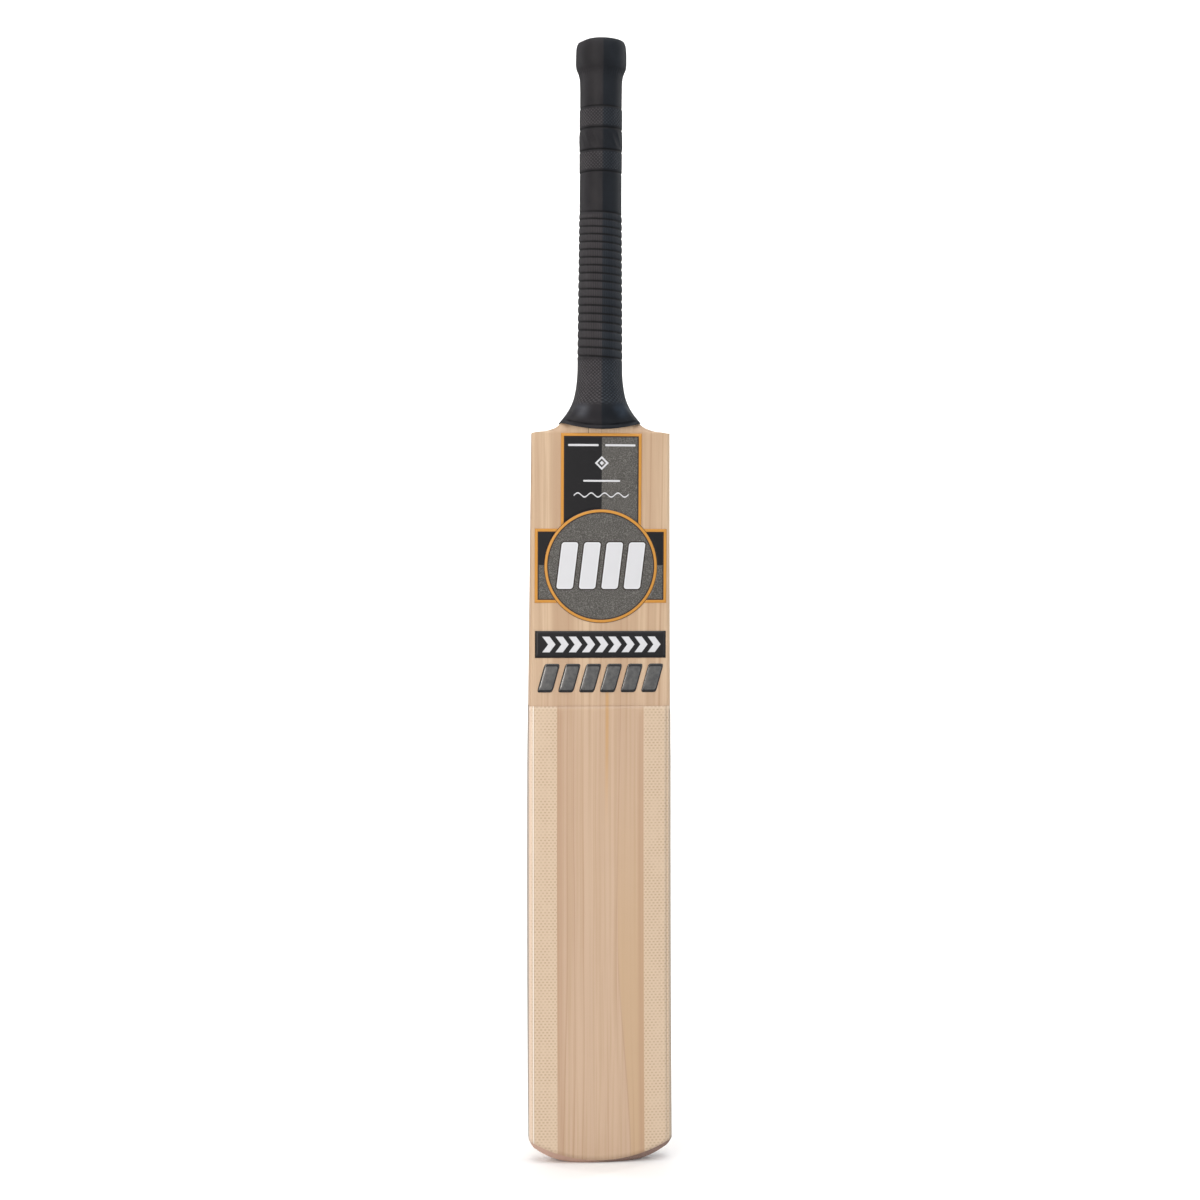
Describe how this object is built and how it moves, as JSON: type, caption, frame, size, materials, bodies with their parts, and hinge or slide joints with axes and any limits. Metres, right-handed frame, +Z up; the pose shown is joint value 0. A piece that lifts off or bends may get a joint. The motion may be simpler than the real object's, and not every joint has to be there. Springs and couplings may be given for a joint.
{
  "type": "cricket bat",
  "caption": "Adult cricket bat: bowed willow blade with rounded toe, spliced cane handle, flared ribbed rubber grip, clear face sheet, mesh edge tapes and plain geometric stickers.",
  "frame": {"origin": "middle of the flat underside of the toe", "axes": "+Z up the bat from toe to handle, -Y out of the hitting face, +X across the blade to the right of someone looking at the face"},
  "size_m": [0.1084, 0.0869, 0.8459],
  "materials": {
    "willow": "satin, straight vertical grain",
    "cane": "satin, fine fibrous grain",
    "strip_rubber": "matt",
    "twine": "waxed thread, wound",
    "grip_rubber": "satin, knurled and ribbed",
    "clear_sheet": "clear, satin",
    "fibre_tape": "clear tape with a woven mesh",
    "label_print": "printed sticker with an orange border",
    "badge_print": "printed round sticker with an orange ring",
    "band_print": "printed sticker, black with a white motif",
    "domed_gel": "domed clear gel over a dark metallic print"
  },
  "bodies": {
    "root": {"band_label": "band_print", "blade": "willow", "cane_back_1": "cane", "cane_back_2": "cane", "cane_back_3": "cane", "cane_back_4": "cane", "cane_front_1": "cane", "cane_front_2": "cane", "cane_front_3": "cane", "cane_front_4": "cane", "cane_middle_1": "cane", "cane_middle_2": "cane", "cane_middle_3": "cane", "cane_middle_4": "cane", "domed_bar_1": "domed_gel", "domed_bar_2": "domed_gel", "domed_bar_3": "domed_gel", "domed_bar_4": "domed_gel", "domed_bar_5": "domed_gel", "domed_bar_6": "domed_gel", "edge_tape_left": "fibre_tape", "edge_tape_right": "fibre_tape", "face_sheet": "clear_sheet", "grip": "grip_rubber", "round_badge": "badge_print", "rubber_strip_back": "strip_rubber", "rubber_strip_front": "strip_rubber", "side_panel_left": "label_print", "side_panel_right": "label_print", "twine_binding": "twine", "upper_label": "label_print"}
  },
  "joints": []
}
